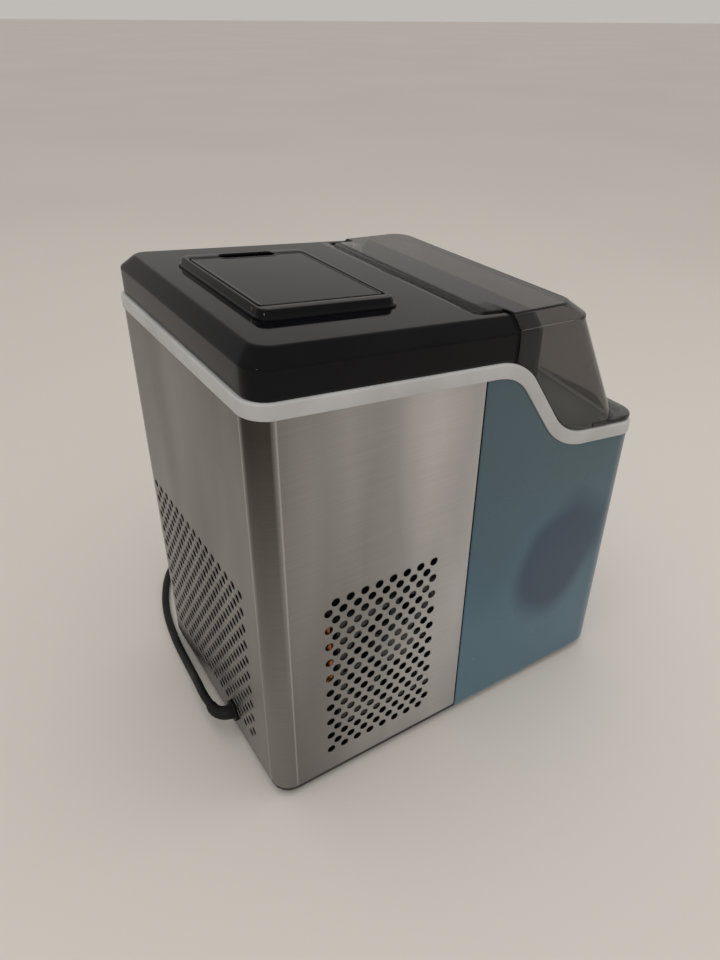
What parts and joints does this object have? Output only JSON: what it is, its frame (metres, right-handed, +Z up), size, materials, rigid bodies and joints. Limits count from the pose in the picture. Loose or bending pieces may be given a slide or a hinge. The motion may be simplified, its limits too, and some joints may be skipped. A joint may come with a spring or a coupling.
{
  "type": "countertop ice maker",
  "caption": "Free-standing countertop ice maker: vented steel and blue walls, black cover with a fill hatch, smoked front hood over a lift-out basket, coiled mains lead.",
  "frame": {"origin": "middle of the body's footprint, on the surface that it stands on; the mains lead isn't counted", "axes": "+Z up, -Y towards the front with the smoked hood, +Y towards the back with the mains lead, +X towards the side with the drain plug"},
  "size_m": [0.3607, 0.3669, 0.3841],
  "materials": {
    "steel_wrap": "fine brushed steel sheet",
    "blue_shell": "grey blue satin sheet, partly under protective film",
    "trim_white": "satin light grey",
    "cover_black": "high gloss black",
    "smoked_hood": "clear smoke grey",
    "seal_rubber": "matte",
    "foot_rubber": "matte",
    "dark_pan": "black satin",
    "pin_steel": "plain bright steel",
    "inner_plastic": "satin",
    "chute_plastic": "satin",
    "tub_grey": "satin",
    "foam_white": "moulded foam",
    "basket_grey": "satin",
    "tank_clear": "milky clear",
    "compressor_black": "black enamel",
    "fan_black": "satin",
    "fan_grey": "satin",
    "fin_aluminium": "mill",
    "jacket_foam": "closed-cell foam",
    "motor_grey": "satin",
    "copper": "bare copper",
    "hose_clear": "milky silicone",
    "board_green": "coated board",
    "panel_black": "gloss",
    "lens_pale": "diffuse",
    "button_grey": "satin",
    "cord_black": "satin jacket",
    "tie_black": "woven strap",
    "plug_black": "moulded"
  },
  "bodies": {
    "cabinet": {"base_pan": "dark_pan", "foot_1": "foot_rubber", "foot_2": "foot_rubber", "foot_3": "foot_rubber", "foot_4": "foot_rubber", "rear_wrap": "steel_wrap", "front_shell": "blue_shell", "trim_ring": "trim_white", "top_cover": "cover_black", "hatch_pin": "pin_steel", "lid_pin_left": "pin_steel", "lid_pin_right": "pin_steel", "inner_wall": "inner_plastic", "ice_chute": "chute_plastic", "ice_tub": "tub_grey", "tub_foam": "foam_white", "tank_shelf": "inner_plastic", "water_tank": "tank_clear", "fill_basin": "inner_plastic", "float_stem": "chute_plastic", "compressor": "compressor_black", "compressor_mount_1": "foot_rubber", "compressor_mount_2": "foot_rubber", "compressor_mount_3": "foot_rubber", "fan_frame": "fan_black", "fan_motor": "pin_steel", "condenser": "fin_aluminium", "evaporator_barrel": "pin_steel", "evaporator_jacket": "jacket_foam", "gear_motor": "motor_grey", "ice_head": "chute_plastic", "discharge_pipe": "copper", "filter_dryer": "copper", "suction_pipe": "copper", "water_pump": "motor_grey", "tank_hose": "hose_clear", "feed_hose": "hose_clear", "control_board": "board_green", "control_panel": "panel_black", "indicator_lens": "lens_pale", "drain_socket": "inner_plastic", "cord_gland": "cord_black", "cord_lead": "cord_black", "cord_coil": "cord_black", "cord_tail": "cord_black", "cord_tie": "tie_black", "plug": "plug_black"},
    "hood": {"window_lid": "smoked_hood", "lid_seal": "seal_rubber"},
    "hatch": {"fill_hatch": "cover_black"},
    "basket": {"ice_basket": "basket_grey"},
    "bail": {"basket_handle": "basket_grey"},
    "flap": {"chute_flap": "chute_plastic"},
    "float": {"water_float": "chute_plastic"},
    "auger_shaft": {"auger": "pin_steel"},
    "fan_rotor": {"fan_blade": "fan_grey"},
    "button_power": {"power_button": "button_grey"},
    "button_ice": {"ice_button": "button_grey"},
    "button_clean": {"clean_button": "button_grey"},
    "drain": {"drain_plug": "seal_rubber"}
  },
  "joints": [
    {"name": "window_lid_hinge", "type": "hinge", "parent": "cabinet", "child": "hood", "pos_m": [0, -0.01, 0.35997], "axis": [-1, 0, 0], "range_deg": [0, 95]},
    {"name": "fill_hatch_hinge", "type": "hinge", "parent": "cabinet", "child": "hatch", "pos_m": [-0.0546, 0.089, 0.37715], "axis": [0, -0.9958, -0.0918], "range_deg": [0, 95]},
    {"name": "basket_lift", "type": "slide", "parent": "cabinet", "child": "basket", "axis": [0, 0, 1], "range_m": [0, 0.04]},
    {"name": "basket_handle_hinge", "type": "hinge", "parent": "basket", "child": "bail", "pos_m": [0, -0.101, 0.21], "axis": [-1, 0, 0], "range_deg": [0, 90]},
    {"name": "chute_flap_hinge", "type": "hinge", "parent": "cabinet", "child": "flap", "pos_m": [0, -0.056, 0.2843], "axis": [-1, 0, 0], "range_deg": [0, 60]},
    {"name": "water_float_slide", "type": "slide", "parent": "cabinet", "child": "float", "axis": [0, 0, 1], "range_m": [0, 0.03]},
    {"name": "auger_spin", "type": "hinge", "parent": "cabinet", "child": "auger_shaft", "pos_m": [0, 0.006, 0.19], "axis": [0, 0, 1], "continuous": true},
    {"name": "fan_spin", "type": "hinge", "parent": "cabinet", "child": "fan_rotor", "pos_m": [-0.1, 0.062, 0.112], "axis": [1, 0, 0], "continuous": true},
    {"name": "power_button_press", "type": "slide", "parent": "cabinet", "child": "button_power", "axis": [0, 1, 0], "range_m": [0, 0.0012], "stiffness_N_per_m": 400},
    {"name": "ice_button_press", "type": "slide", "parent": "cabinet", "child": "button_ice", "axis": [0, 1, 0], "range_m": [0, 0.0012], "stiffness_N_per_m": 400},
    {"name": "clean_button_press", "type": "slide", "parent": "cabinet", "child": "button_clean", "axis": [0, 1, 0], "range_m": [0, 0.0012], "stiffness_N_per_m": 400},
    {"name": "drain_plug_pull", "type": "slide", "parent": "cabinet", "child": "drain", "axis": [1, 0, 0], "range_m": [0, 0.02]}
  ]
}
